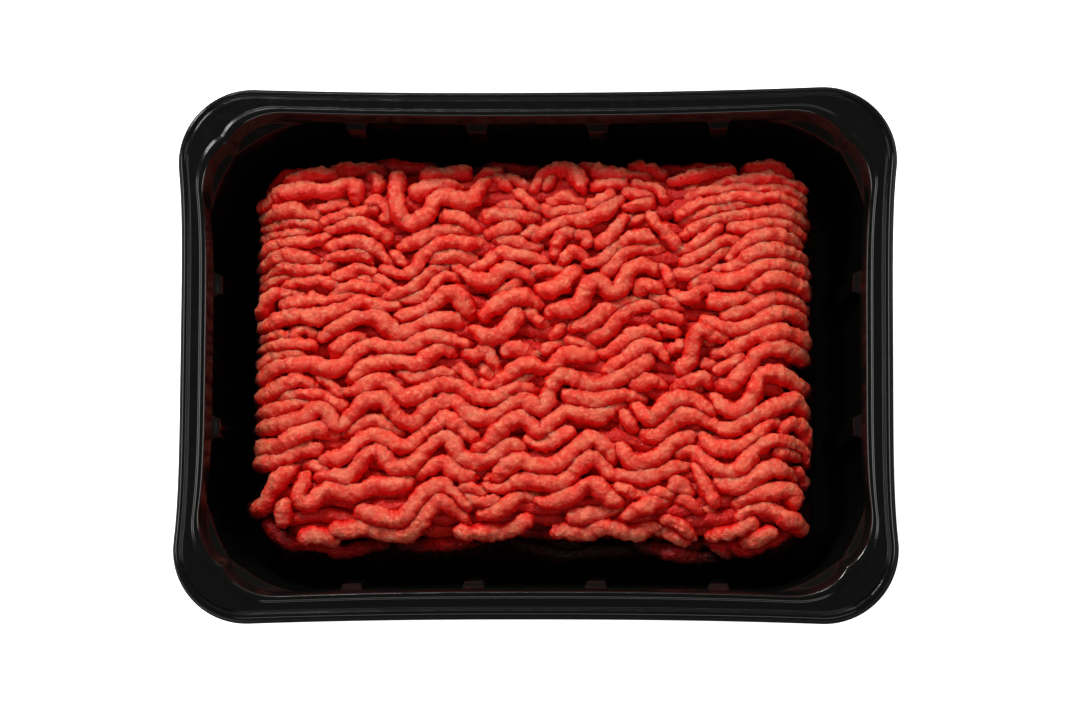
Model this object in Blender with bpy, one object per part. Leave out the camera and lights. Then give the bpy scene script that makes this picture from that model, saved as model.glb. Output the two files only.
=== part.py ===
"""Retail tray of minced meat: a thermoformed plastic tray and the block of mince in it.

Metres, +Z up. The origin is on the tabletop under the middle of the tray, +X runs
along the tray's length and +Y across it.
"""

import math
from collections import namedtuple

import bmesh
import bpy

# Tray, outside sizes and sheet
TRAY_LENGTH = 0.190
TRAY_WIDTH = 0.142
TRAY_HEIGHT = 0.050
SHEET = 0.0007

# Rim, from the outer edge inwards
OUTER_RADIUS = 0.0195
LIP_DROP = 0.0040
LIP_SHOULDER = 0.0012
LIP_WIDTH = 0.0021
GROOVE_HALF = 0.0004
GROOVE_DEPTH = 0.00035
BEAD_START = 0.0058
BEAD_TOP = 0.00635
BEAD_END = 0.00705
BEAD_HEIGHT = 0.0004
THROAT_INSET = 0.0085
THROAT_DEPTH = 0.0047

# The sides are drawn in between the corners: how far, and how flat their middle stays
SIDE_BOW = 0.00115
SHORT_SIDE_POWER = 4.5
LONG_SIDE_POWER = 2.3

# Mouth corners: two lobes that meet in a cusp, above a sloping ledge
MOUTH_RADIUS = 0.0205
CUSP_DEPTH = 0.0015
CUSP_REACH = 0.0038
LEDGE_RADIUS = 0.0280
LEDGE_DROP = 0.0017

# Wall, floor and the ribs that stiffen the wall
WALL_DRAFT = math.radians(8.6)
FLOOR_RADIUS = 0.0065
RIB_DEPTH = 0.0019
RIB_FOOT_HALF = 0.0035
RIB_FACE_HALF = 0.00225
SHORT_SIDE_RIBS = (0.0191,)
LONG_SIDE_RIBS = (0.0160, 0.0480)

# Places round a corner, as shares of its arc, closer together beside the cusp
CORNER_SHARES = (0.0, 0.14, 0.28, 0.39, 0.45, 0.5, 0.55, 0.61, 0.72, 0.86, 1.0)

# Block of mince: its box, how far its side wanders, and the low swells of its top
MINCE_LENGTH = 0.148
MINCE_WIDTH = 0.104
MINCE_TOP = 0.0365
MINCE_CENTRE = (-0.0016, 0.0010)
MINCE_CORNER = 0.012
MINCE_CORNER_LEAST = 0.004
MINCE_SHOULDER = 0.009
MINCE_FOOT = ((0.0060, 0.0), (0.0022, 0.0035), (0.0004, 0.0100), (0.0, 0.0180))
MINCE_PLACES = 56
MINCE_UNEVEN = 0.0011
MINCE_SWELL = 0.0009
SWELLS_PER_METRE = (190.0, 240.0)
SWELL_FROM = 0.6 * MINCE_TOP
TOP_RING_STEP = 0.0085
TOP_RINGS = 4
GAP = 0.0003

Level = namedtuple("Level", "inset height radius bow cusp rib")


def clear_scene():
    for thing in list(bpy.data.objects):
        bpy.data.objects.remove(thing, do_unlink=True)


def make_material(name, colour, roughness):
    material = bpy.data.materials.new(name)
    material.use_nodes = True
    shader = material.node_tree.nodes["Principled BSDF"]
    shader.inputs["Base Color"].default_value = (*colour, 1.0)
    shader.inputs["Roughness"].default_value = roughness
    shader.inputs["Metallic"].default_value = 0.0
    return material


def add_object(name, bm, material):
    mesh = bpy.data.meshes.new(name)
    bm.to_mesh(mesh)
    bm.free()
    mesh.materials.append(material)
    thing = bpy.data.objects.new(name, mesh)
    bpy.context.collection.objects.link(thing)
    return thing


def flare_angle(corner_start, radius, bow, power):
    """Angle at which a bowed side runs into its corner arc, in radians."""
    angle = 0.0
    for _ in range(8):
        reach = corner_start - radius * math.sin(angle)
        angle = math.atan(power * bow / reach)
    return angle


def side_places(rib_centres, end):
    """(place, on a rib's face) along half a side, from its middle to its corner."""
    places = [(0.0, False)]
    for centre in rib_centres:
        if len(places) > 1:
            places.append(((places[-1][0] + centre - RIB_FOOT_HALF) / 2, False))
        places.append((centre - RIB_FOOT_HALF, False))
        places.append((centre - RIB_FACE_HALF, True))
        places.append((centre + RIB_FACE_HALF, True))
        places.append((centre + RIB_FOOT_HALF, False))
    places.append(((places[-1][0] + end) / 2, False))
    return places


def quarter_outline(level):
    """Plan of one level in the +X +Y quarter, from the short side to the long side."""
    radius = level.radius
    bow = SIDE_BOW * level.bow
    centre_x = TRAY_LENGTH / 2 - level.inset - radius
    centre_y = TRAY_WIDTH / 2 - level.inset - radius
    short_flare = flare_angle(centre_y, radius, bow, SHORT_SIDE_POWER)
    long_flare = flare_angle(centre_x, radius, bow, LONG_SIDE_POWER)
    end_y = centre_y - radius * math.sin(short_flare)
    end_x = centre_x - radius * math.sin(long_flare)
    middle_x = centre_x + radius * math.cos(short_flare) - bow
    middle_y = centre_y + radius * math.cos(long_flare) - bow
    rib_depth = RIB_DEPTH * level.rib

    outline = []
    for y, on_rib in side_places(SHORT_SIDE_RIBS, end_y):
        x = middle_x + bow * (y / end_y) ** SHORT_SIDE_POWER
        outline.append((x - rib_depth * on_rib, y))
    turn = math.pi / 2 + short_flare + long_flare
    for share in CORNER_SHARES:
        angle = share * turn - short_flare
        from_cusp = abs(share - 0.5) * turn * radius
        reach = radius - CUSP_DEPTH * level.cusp * math.exp(-from_cusp / CUSP_REACH)
        outline.append((centre_x + reach * math.cos(angle), centre_y + reach * math.sin(angle)))
    for x, on_rib in reversed(side_places(LONG_SIDE_RIBS, end_x)):
        y = middle_y + bow * (x / end_x) ** LONG_SIDE_POWER
        outline.append((x, y - rib_depth * on_rib))
    return outline


def tray_levels():
    """Levels of the sheet's inner face, from the floor up the wall and over the rim."""
    throat = TRAY_HEIGHT - THROAT_DEPTH
    wall_top = throat - LEDGE_DROP
    slope = math.tan(WALL_DRAFT)
    arc_height = SHEET + FLOOR_RADIUS
    arc_inset = THROAT_INSET + (wall_top - arc_height) * slope + FLOOR_RADIUS / math.cos(WALL_DRAFT)
    levels = []
    for share in (0.0, 0.5, 1.0):
        angle = share * (math.pi / 2 - WALL_DRAFT)
        inset = arc_inset - FLOOR_RADIUS * math.sin(angle)
        height = arc_height - FLOOR_RADIUS * math.cos(angle)
        radius = LEDGE_RADIUS - (inset - THROAT_INSET)
        levels.append(Level(inset, height, radius, 0.3 * share, 0.0, share))
    levels.append(Level(THROAT_INSET, wall_top, LEDGE_RADIUS, 1.0, -0.5, 1.0))
    levels.append(Level(THROAT_INSET, throat, MOUTH_RADIUS, 1.0, 1.0, 0.0))

    rim = TRAY_HEIGHT - BEAD_HEIGHT
    levels.append(Level(BEAD_END, rim - 0.0001, MOUTH_RADIUS, 1.0, 1.0, 0.0))
    levels.append(Level(BEAD_TOP, TRAY_HEIGHT, MOUTH_RADIUS, 1.0, 1.0, 0.0))
    levels.append(Level(BEAD_START, rim, MOUTH_RADIUS, 1.0, 1.0, 0.0))
    groove = LIP_WIDTH + GROOVE_HALF
    for inset, height in (
        (groove + GROOVE_HALF, rim),
        (groove, rim - GROOVE_DEPTH),
        (LIP_WIDTH, rim),
        (LIP_SHOULDER, rim - 0.0002),
        (LIP_SHOULDER / 3, rim - LIP_DROP / 3),
        (0.0, rim - LIP_DROP),
    ):
        levels.append(Level(inset, height, OUTER_RADIUS - inset, 1.0, 0.0, 0.0))
    return levels


def mirror_and_thicken(thing):
    """Complete the quarter across both middle planes, then give the sheet its thickness."""
    mirror = thing.modifiers.new("quarters", "MIRROR")
    mirror.use_axis = (True, True, False)
    mirror.merge_threshold = 0.00001
    solidify = thing.modifiers.new("sheet", "SOLIDIFY")
    solidify.thickness = SHEET
    solidify.offset = -1.0
    solidify.use_even_offset = True
    solidify.use_rim = True


def build_tray():
    """Tray: one formed sheet, a quarter lofted through its levels and then mirrored."""
    bm = bmesh.new()
    rings = []
    for level in tray_levels():
        outline = quarter_outline(level)
        rings.append([bm.verts.new((x, y, level.height)) for x, y in outline])
    for lower, upper in zip(rings, rings[1:]):
        for index in range(len(lower) - 1):
            bm.faces.new((lower[index], upper[index], upper[index + 1], lower[index + 1]))
    middle = bm.verts.new((0.0, 0.0, rings[0][0].co.z))
    bm.faces.new([middle] + rings[0])
    bmesh.ops.recalc_face_normals(bm, faces=bm.faces)
    floor = max(bm.faces, key=lambda face: len(face.verts))
    if floor.normal.z < 0.0:
        bmesh.ops.reverse_faces(bm, faces=bm.faces)
    tray = add_object("tray", bm, make_material("black_plastic", (0.012, 0.012, 0.011), 0.3))
    mirror_and_thicken(tray)
    for face in tray.data.polygons:
        face.use_smooth = True
    tray.data.set_sharp_from_angle(angle=math.radians(35))
    return tray


def mince_ring(shrink, height):
    """One level of the block: a rounded rectangle whose edge wanders in and out."""
    half_x = MINCE_LENGTH / 2 - shrink
    half_y = MINCE_WIDTH / 2 - shrink
    corner = max(MINCE_CORNER - shrink / 2, MINCE_CORNER_LEAST)
    straight_x = half_x - corner
    straight_y = half_y - corner
    quarter = straight_x + straight_y + corner * math.pi / 2
    ring = []
    for index in range(MINCE_PLACES):
        along = 4 * quarter * index / MINCE_PLACES
        turn, rest = divmod(along, quarter)
        odd = int(turn) % 2 == 1
        first = straight_x if odd else straight_y
        second = straight_y if odd else straight_x
        if rest < first:
            across, out = rest, (second + corner)
        elif rest < first + corner * math.pi / 2:
            angle = (rest - first) / corner
            across, out = first + corner * math.sin(angle), second + corner * math.cos(angle)
        else:
            across, out = first + corner, second - (rest - first - corner * math.pi / 2)
        x, y = (out, across)
        for _ in range(int(turn) % 4):
            x, y = -y, x
        angle = math.atan2(y, x)
        wander = math.sin(5 * angle + 0.7) + 0.6 * math.sin(11 * angle + 2.1 + 60 * height)
        scale = 1.0 + MINCE_UNEVEN * wander / math.hypot(x, y)
        ring.append((MINCE_CENTRE[0] + x * scale, MINCE_CENTRE[1] + y * scale, height))
    return ring


def build_mince():
    """Mince: the loaf of packed strands as one lump, rounded over at its upper edges."""
    levels = [(shrink, SHEET + GAP + height) for shrink, height in MINCE_FOOT]
    for share in (0.0, 0.35, 0.65, 0.9):
        angle = share * math.pi / 2
        drop = MINCE_SHOULDER * (1 - math.sin(angle))
        levels.append((MINCE_SHOULDER * (1 - math.cos(angle)), MINCE_TOP - drop))
    for step in range(TOP_RINGS):
        levels.append((MINCE_SHOULDER + (step + 1) * TOP_RING_STEP, MINCE_TOP))

    bm = bmesh.new()
    rings = []
    for shrink, height in levels:
        ring = []
        for x, y, z in mince_ring(shrink, height):
            swell = math.sin(x * SWELLS_PER_METRE[0]) * math.sin(y * SWELLS_PER_METRE[1] + 1.0)
            share = max(0.0, (z - SWELL_FROM) / (MINCE_TOP - SWELL_FROM))
            ring.append(bm.verts.new((x, y, z + (swell - 1.0) * MINCE_SWELL * share)))
        rings.append(ring)
    for lower, upper in zip(rings, rings[1:]):
        for index in range(MINCE_PLACES):
            after = (index + 1) % MINCE_PLACES
            bm.faces.new((lower[index], lower[after], upper[after], upper[index]))
    bm.faces.new(list(reversed(rings[0])))
    top = bm.faces.new(rings[-1])
    bmesh.ops.poke(bm, faces=[top])
    mince = add_object("mince", bm, make_material("minced_meat", (0.50, 0.045, 0.025), 0.4))
    for face in mince.data.polygons:
        face.use_smooth = True
    return mince


clear_scene()
build_tray()
build_mince()
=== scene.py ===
"""Retail tray of minced meat: a black formed tray with a block of packed strands of mince in it."""

import math
from collections import namedtuple

import bmesh
import bpy
import numpy as np
from mathutils import Matrix, Vector, kdtree


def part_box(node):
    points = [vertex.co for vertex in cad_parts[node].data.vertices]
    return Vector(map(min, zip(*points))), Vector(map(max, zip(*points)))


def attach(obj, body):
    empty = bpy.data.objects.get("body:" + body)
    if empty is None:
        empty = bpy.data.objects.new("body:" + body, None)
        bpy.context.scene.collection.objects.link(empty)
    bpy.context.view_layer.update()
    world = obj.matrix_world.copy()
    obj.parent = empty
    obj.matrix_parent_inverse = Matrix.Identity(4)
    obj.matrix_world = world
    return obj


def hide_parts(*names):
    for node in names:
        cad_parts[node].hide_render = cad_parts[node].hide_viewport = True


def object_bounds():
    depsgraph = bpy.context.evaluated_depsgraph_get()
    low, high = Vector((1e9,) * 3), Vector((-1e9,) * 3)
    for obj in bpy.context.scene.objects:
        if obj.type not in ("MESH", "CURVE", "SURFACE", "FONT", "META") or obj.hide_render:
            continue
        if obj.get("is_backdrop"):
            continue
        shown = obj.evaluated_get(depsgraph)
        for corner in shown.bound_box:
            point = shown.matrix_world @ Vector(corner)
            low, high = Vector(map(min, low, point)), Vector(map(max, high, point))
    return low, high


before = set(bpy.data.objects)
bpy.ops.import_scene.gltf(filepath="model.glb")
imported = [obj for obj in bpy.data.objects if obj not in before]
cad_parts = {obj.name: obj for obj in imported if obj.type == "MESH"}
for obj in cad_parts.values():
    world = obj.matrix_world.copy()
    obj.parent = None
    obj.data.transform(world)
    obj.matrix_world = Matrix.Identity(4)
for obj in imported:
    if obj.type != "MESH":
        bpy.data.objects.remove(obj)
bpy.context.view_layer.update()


# ---------------------------------------------------------------------------
# Tray: a sheet of black polypropylene drawn over a mould. The mould leaves a rolled
# lip, a flat sealing face with a bead inside it, lobed mouth corners and stiffening
# ribs that end in sloping caps.

tray_low, tray_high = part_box("tray")
TRAY_LENGTH = 0.190
TRAY_WIDTH = 0.142
TRAY_HEIGHT = tray_high.z
SHEET = 0.0007

OUTER_RADIUS = 0.0195
LIP_DROP = 0.0040
LIP_WIDTH = 0.0021
GROOVE_WIDTH = 0.0008
GROOVE_DEPTH = 0.0004
BEAD_OUTER = 0.0057
BEAD_INNER = 0.0070
BEAD_HEIGHT = 0.0004
THROAT_INSET = 0.0085
THROAT_DEPTH = 0.0047
THROAT_TOP = 0.0007
SIDE_BOW = 0.00115
SHORT_SIDE_POWER = 4.5
LONG_SIDE_POWER = 2.3
MOUTH_RADIUS = 0.0205
CUSP_DEPTH = 0.0015
CUSP_REACH = 0.0038
CUSP_ROUND = 0.0004
LEDGE_RADIUS = 0.0280
LEDGE_DROP = 0.0017
WALL_DRAFT = math.radians(8.6)
FLOOR_FILLET = 0.0056
RIB_DEPTH = 0.0019
RIB_FOOT_HALF = 0.0035
RIB_FACE_HALF = 0.00225
SHORT_SIDE_RIBS = (0.0191,)
LONG_SIDE_RIBS = (0.0160, 0.0480)

# One level of the sheet's section. fillet is how far a corner there is cut back.
Level = namedtuple("Level", "inset height radius bow cusp rib fillet")


def flare_angle(corner_start, radius, bow, power):
    """Angle at which a bowed side runs into its corner arc."""
    angle = 0.0
    for _ in range(8):
        angle = math.atan(power * bow / (corner_start - radius * math.sin(angle)))
    return angle


def side_places(rib_centres, end):
    """Places along half a side, and how far each stands on a rib, 0 to 1."""
    places = []
    start = 0.0
    for centre in rib_centres:
        foot, face = RIB_FOOT_HALF, RIB_FACE_HALF
        stops = (start, centre - foot, centre - face, centre + face, centre + foot)
        for first, last, count in zip(stops, stops[1:], (6, 7, 4, 7)):
            places.extend(np.linspace(first, last, count, endpoint=False))
        start = centre + foot
    places.extend(np.linspace(start, end, 8, endpoint=False))
    places = np.array(places)
    nearest = np.min([np.abs(places - centre) for centre in rib_centres], axis=0)
    share = np.clip((RIB_FOOT_HALF - nearest) / (RIB_FOOT_HALF - RIB_FACE_HALF), 0, 1)
    return places, share * share * (3 - 2 * share)


def outline(level):
    """Plan of one level all the way round, anticlockwise from the middle of the +X side."""
    radius, bow = level.radius, SIDE_BOW * level.bow
    centre_x = TRAY_LENGTH / 2 - level.inset - radius
    centre_y = TRAY_WIDTH / 2 - level.inset - radius
    short_flare = flare_angle(centre_y, radius, bow, SHORT_SIDE_POWER)
    long_flare = flare_angle(centre_x, radius, bow, LONG_SIDE_POWER)
    end_y = centre_y - radius * math.sin(short_flare)
    end_x = centre_x - radius * math.sin(long_flare)

    y, on_rib = side_places(SHORT_SIDE_RIBS, end_y)
    x = centre_x + radius * math.cos(short_flare) - bow * (1 - (y / end_y) ** SHORT_SIDE_POWER)
    short_side = np.stack([x - RIB_DEPTH * level.rib * on_rib, y], axis=1)

    turn = math.pi / 2 + short_flare + long_flare
    spread = np.linspace(-1, 1, 61)
    share = 0.5 + 0.5 * np.sign(spread) * np.abs(spread) ** 1.5
    angle = share * turn - short_flare
    along = (share - 0.5) * turn * radius
    from_cusp = np.sqrt(along**2 + CUSP_ROUND**2) - CUSP_ROUND
    reach = radius - CUSP_DEPTH * level.cusp * np.exp(-from_cusp / CUSP_REACH)
    corner = np.stack([centre_x + reach * np.cos(angle), centre_y + reach * np.sin(angle)], axis=1)

    x, on_rib = side_places(LONG_SIDE_RIBS, end_x)
    y = centre_y + radius * math.cos(long_flare) - bow * (1 - (x / end_x) ** LONG_SIDE_POWER)
    long_side = np.stack([x, y - RIB_DEPTH * level.rib * on_rib], axis=1)[::-1]

    quarter = np.concatenate([short_side, corner, long_side])
    half = np.concatenate([quarter, (quarter * (-1, 1))[::-1][1:]])
    return np.concatenate([half, (half * (1, -1))[::-1][1:-1]])


def section(depth):
    """Corners of the sheet's section, depth below its upper face, from the floor out to the lip."""
    throat = TRAY_HEIGHT - THROAT_DEPTH
    wall_top = throat - LEDGE_DROP
    floor = SHEET - depth
    wall_foot = THROAT_INSET + (wall_top - floor) * math.tan(WALL_DRAFT)
    rim = TRAY_HEIGHT - BEAD_HEIGHT

    def level(inset, height, radius, bow, cusp, rib, fillet):
        return Level(inset - depth, height, radius + depth, bow, cusp, rib, fillet)

    floor_edge = wall_foot + FLOOR_FILLET
    floor_radius = LEDGE_RADIUS - floor_edge + THROAT_INSET
    wall_radius = LEDGE_RADIUS - wall_foot + THROAT_INSET
    keys = [
        level(floor_edge + 0.012, floor, floor_radius - 0.010, 0, 0, 0, 0),
        level(floor_edge, floor, floor_radius, 0, 0, 0, 0),
        level(wall_foot, floor, wall_radius, 0.3, 0, 1, FLOOR_FILLET * 0.98),
        level(THROAT_INSET, wall_top, LEDGE_RADIUS, 1, -0.5, 1, 0.0006),
        level(THROAT_INSET, throat, MOUTH_RADIUS, 1, 1, 0, 0.0004),
    ]
    if depth > 0:
        keys.append(level(BEAD_INNER, rim - depth, MOUTH_RADIUS, 1, 1, 0, 0.0006))
    else:
        keys.append(level(BEAD_INNER, TRAY_HEIGHT, MOUTH_RADIUS, 1, 1, 0, 0.0006))
        keys.append(level(BEAD_OUTER, TRAY_HEIGHT, MOUTH_RADIUS, 1, 1, 0, 0.0005))
        keys.append(level(BEAD_OUTER - 0.0004, rim, MOUTH_RADIUS, 1, 1, 0, 0.00025))
        groove = ((GROOVE_WIDTH, 0.0), (0.7 * GROOVE_WIDTH, GROOVE_DEPTH),
                  (0.3 * GROOVE_WIDTH, GROOVE_DEPTH), (0.0, 0.0))
        for across, down in groove:
            inset = LIP_WIDTH + across
            keys.append(level(inset, rim - down, OUTER_RADIUS - inset, 1, 0, 0, 0.00014))
    for inset, height, cut in ((0.0009, rim - depth, 0.0008), (0.0, rim - LIP_DROP, 0.0)):
        inset += depth
        keys.append(Level(inset, height, OUTER_RADIUS - inset, 1, 0, 0, cut))
    return keys


def fillet(keys, steps=5):
    """Round each corner of a section by a small parabola between its cut-back points."""
    levels = [keys[0]]
    for before, key, after in zip(keys, keys[1:], keys[2:]):
        here = np.array(key)
        cuts = []
        for other in (before, after):
            toward = np.array(other)
            length = math.hypot(toward[0] - here[0], toward[1] - here[1])
            cuts.append(here + (toward - here) * min(key.fillet / length, 0.49))
        if key.fillet == 0:
            levels.append(key)
            continue
        for share in np.linspace(0, 1, steps + 1):
            point = (1 - share) ** 2 * cuts[0] + 2 * share * (1 - share) * here
            levels.append(Level(*(point + share**2 * cuts[1])))
    levels.append(keys[-1])
    return levels


levels = fillet(section(0.0)) + fillet(section(SHEET))[::-1]
rings = []
for level in levels:
    plan = outline(level)
    rings.append(np.column_stack([plan, np.full(len(plan), level.height)]))
count = len(rings[0])
verts = np.concatenate(rings)
faces = []
for ring in range(len(rings) - 1):
    for index in range(count):
        after = (index + 1) % count
        low, high = ring * count, (ring + 1) * count
        faces.append((low + index, high + index, high + after, low + after))
faces.append(tuple(range(count)))
last = (len(rings) - 1) * count
faces.append(tuple(range(last + count - 1, last - 1, -1)))
tray_mesh = bpy.data.meshes.new("tray_sheet")
tray_mesh.from_pydata(verts.tolist(), [], faces)
tray_mesh.shade_smooth()
tray = bpy.data.objects.new("tray_sheet", tray_mesh)
bpy.context.scene.collection.objects.link(tray)

SCUFFS_PER_METRE = 420.0
SHEEN_ROUGHNESS = 0.08
SCUFF_ROUGHNESS = 0.20
GLOSSY_SPECULAR = 0.36
DULL_SPECULAR = 0.10
UNEVEN_PER_METRE = 90.0
UNEVEN_HEIGHT = 0.0003


def plastic_material(name, specular):
    """Black moulded plastic: glossy, with faint scuffs and a slightly uneven surface."""
    material = bpy.data.materials.new(name)
    material.use_nodes = True
    nodes, link = material.node_tree.nodes, material.node_tree.links.new
    shader = nodes["Principled BSDF"]
    shader.inputs["Base Color"].default_value = (0.006, 0.006, 0.0057, 1)
    shader.inputs["Specular IOR Level"].default_value = specular
    place = nodes.new("ShaderNodeTexCoord")

    def noise(scale, detail):
        node = nodes.new("ShaderNodeTexNoise")
        node.inputs["Scale"].default_value = scale
        node.inputs["Detail"].default_value = detail
        link(place.outputs["Object"], node.inputs["Vector"])
        return node.outputs["Fac"]

    scuffed = nodes.new("ShaderNodeMapRange")
    scuffed.inputs["From Min"].default_value = 0.35
    scuffed.inputs["From Max"].default_value = 0.75
    scuffed.inputs["To Min"].default_value = SHEEN_ROUGHNESS
    scuffed.inputs["To Max"].default_value = SCUFF_ROUGHNESS
    link(noise(SCUFFS_PER_METRE, 4.0), scuffed.inputs["Value"])
    link(scuffed.outputs[0], shader.inputs["Roughness"])
    bump = nodes.new("ShaderNodeBump")
    bump.inputs["Strength"].default_value = 0.25
    bump.inputs["Distance"].default_value = UNEVEN_HEIGHT
    link(noise(UNEVEN_PER_METRE, 3.0), bump.inputs["Height"])
    link(bump.outputs[0], shader.inputs["Normal"])
    return material


# The sheet is glossy but for the throat under the lip, where the mould draws it thin and dull
tray_mesh.materials.append(plastic_material("black_tray_plastic", GLOSSY_SPECULAR))
tray_mesh.materials.append(plastic_material("black_tray_plastic_drawn", DULL_SPECULAR))
throat_levels = (TRAY_HEIGHT - THROAT_DEPTH - LEDGE_DROP, TRAY_HEIGHT - THROAT_TOP)
for ring, (upper, lower) in enumerate(zip(levels, levels[1:])):
    middle = (upper.height + lower.height) / 2
    if BEAD_INNER < upper.inset and throat_levels[0] < middle < throat_levels[1]:
        for index in range(count):
            tray_mesh.polygons[ring * count + index].material_index = 1
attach(tray, "root")
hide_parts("tray")


# ---------------------------------------------------------------------------
# Mince: beef pressed through a plate of round holes. The strands land side by side and
# fold to and fro in step, so that the block's rows run as waves along its length. At its
# ends they bend down, and along its sides they lie on each other.

mince_low, mince_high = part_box("mince")
MM = 0.001
ROW_PITCH = 4.4 * MM
STRAND_RADIUS = 2.2 * MM
BLOCK_X = (mince_low.x + mince_high.x) / 2
BLOCK_Y = (mince_low.y + mince_high.y) / 2
HALF_LENGTH = (mince_high.x - mince_low.x) / 2 - 3.4 * MM
HALF_WIDTH = (mince_high.y - mince_low.y) / 2 - 3.6 * MM
BLOCK_TOP = mince_high.z - 1.9 * MM
BLOCK_FOOT = mince_low.z + 2.2 * MM
SHOULDER = 9.0 * MM
END_BEND = 9.0 * MM
PLAN_CORNER = 11.0 * MM
END_FLARE = math.radians(4)
NODE_STEP = 1.0 * MM

chance = np.random.default_rng(11)


def waver(shortest, longest, height, count=5):
    """A smooth random function of one or two lengths, built from a few sine waves."""
    lengths = chance.uniform(shortest, longest, count)
    headings = chance.uniform(0, 2 * math.pi, count)
    phases = chance.uniform(0, 2 * math.pi, count)

    def value(x, y=0.0):
        total = 0.0
        for length, heading, phase in zip(lengths, headings, phases):
            across = x * math.cos(heading) + y * math.sin(heading)
            total = total + np.sin(across * 2 * math.pi / length + phase)
        return total * height / math.sqrt(count)

    return value


def cross_section(s):
    """Place (y, z) and outward direction at a distance s round the block from the top's middle."""
    flat = HALF_WIDTH - SHOULDER
    away = np.abs(s)
    side = np.where(s < 0, -1.0, 1.0)
    angle = np.clip((away - flat) / SHOULDER, 0, math.pi / 2)
    below = np.maximum(away - flat - SHOULDER * math.pi / 2, 0)
    y = side * (np.minimum(away, flat) + SHOULDER * np.sin(angle))
    z = BLOCK_TOP - SHOULDER * (1 - np.cos(angle)) - below
    return BLOCK_Y + y, z, side * np.sin(angle), np.cos(angle)


low_swell = waver(35 * MM, 90 * MM, 0.55 * MM)
mid_swell = waver(12 * MM, 26 * MM, 0.3 * MM)


def under_row(s0, depth, tail):
    """A gently waving row across the block, bent down at both ends: points and directions."""
    y0 = cross_section(s0)[0] - BLOCK_Y
    past = max(abs(y0) - (HALF_WIDTH - PLAN_CORNER), 0)
    reach = HALF_LENGTH - PLAN_CORNER + math.sqrt(max(PLAN_CORNER**2 - past**2, 0)) - depth
    bend_from = reach - END_BEND
    quarter = END_BEND * (math.pi / 2 - END_FLARE)
    u = np.arange(-bend_from - quarter - tail, bend_from + quarter + tail, NODE_STEP)
    beyond = np.maximum(np.abs(u) - bend_from, 0)
    angle = np.minimum(beyond / END_BEND, math.pi / 2 - END_FLARE)
    rest = np.maximum(beyond - quarter, 0)
    end = np.sign(u)
    x = end * (np.minimum(np.abs(u), bend_from) + END_BEND * np.sin(angle) + rest * math.sin(END_FLARE))
    drop = END_BEND * (1 - np.cos(angle)) + rest * math.cos(END_FLARE)
    y, z, out_y, out_z = cross_section(s0 + waver(14 * MM, 40 * MM, 1.6 * MM)(u) * np.cos(angle))
    up = np.cos(angle)
    outward = np.stack([end * np.sin(angle), out_y * up, out_z * up], axis=1)
    outward /= np.linalg.norm(outward, axis=1)[:, None]
    points = np.stack([BLOCK_X + x, y, z - drop], axis=1) + outward * (waver(8 * MM, 30 * MM, 0.4 * MM)(u) - depth)[:, None]
    points[:, 2] -= front_sag(points[:, 0], points[:, 1])
    return points, outward


def side_row(s0, depth, left, right):
    """A row along the front or the back, turned round the corners at both ends."""
    side = math.copysign(1, s0)
    bend_from = HALF_LENGTH - PLAN_CORNER
    quarter = PLAN_CORNER * math.pi / 2
    u = np.arange(-bend_from - left, bend_from + right, NODE_STEP)
    beyond = np.maximum(np.abs(u) - bend_from, 0)
    angle = np.minimum(beyond / PLAN_CORNER, math.pi / 2)
    rest = np.maximum(beyond - quarter, 0)
    end = np.sign(u)
    x = end * (np.minimum(np.abs(u), bend_from) + PLAN_CORNER * np.sin(angle))
    inward = PLAN_CORNER * (1 - np.cos(angle)) + rest
    s = s0 + waver(14 * MM, 40 * MM, 1.3 * MM)(u)
    y, z, out_y, out_z = cross_section(s)
    across = np.cos(angle)
    outward = np.stack([end * np.sin(angle), out_y * across, out_z], axis=1)
    outward /= np.linalg.norm(outward, axis=1)[:, None]
    raise_by = waver(10 * MM, 30 * MM, 0.6 * MM)(u) + low_swell(x, z) - depth
    points = np.stack([BLOCK_X + x, y - side * inward, z], axis=1) + outward * raise_by[:, None]
    points[:, 2] -= front_sag(points[:, 0], points[:, 1])
    return points, outward


# Along the front the block sags between three standing parts.
SAGS = ((8, 26, 5.0), (-40, 14, 1.2), (30, 6, 1.0))
SAG_FROM = -38 * MM
SAG_WIDTH = 8 * MM


def front_sag(x, y):
    """How far the front of the top has sunk at a place."""
    sag = 0.0
    for middle, reach, depth in SAGS:
        sag = sag + depth * MM * np.exp(-((x / MM - middle) / reach) ** 4)
    return sag * np.clip((SAG_FROM - y) / SAG_WIDTH, 0, 1) ** 1.5


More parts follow.
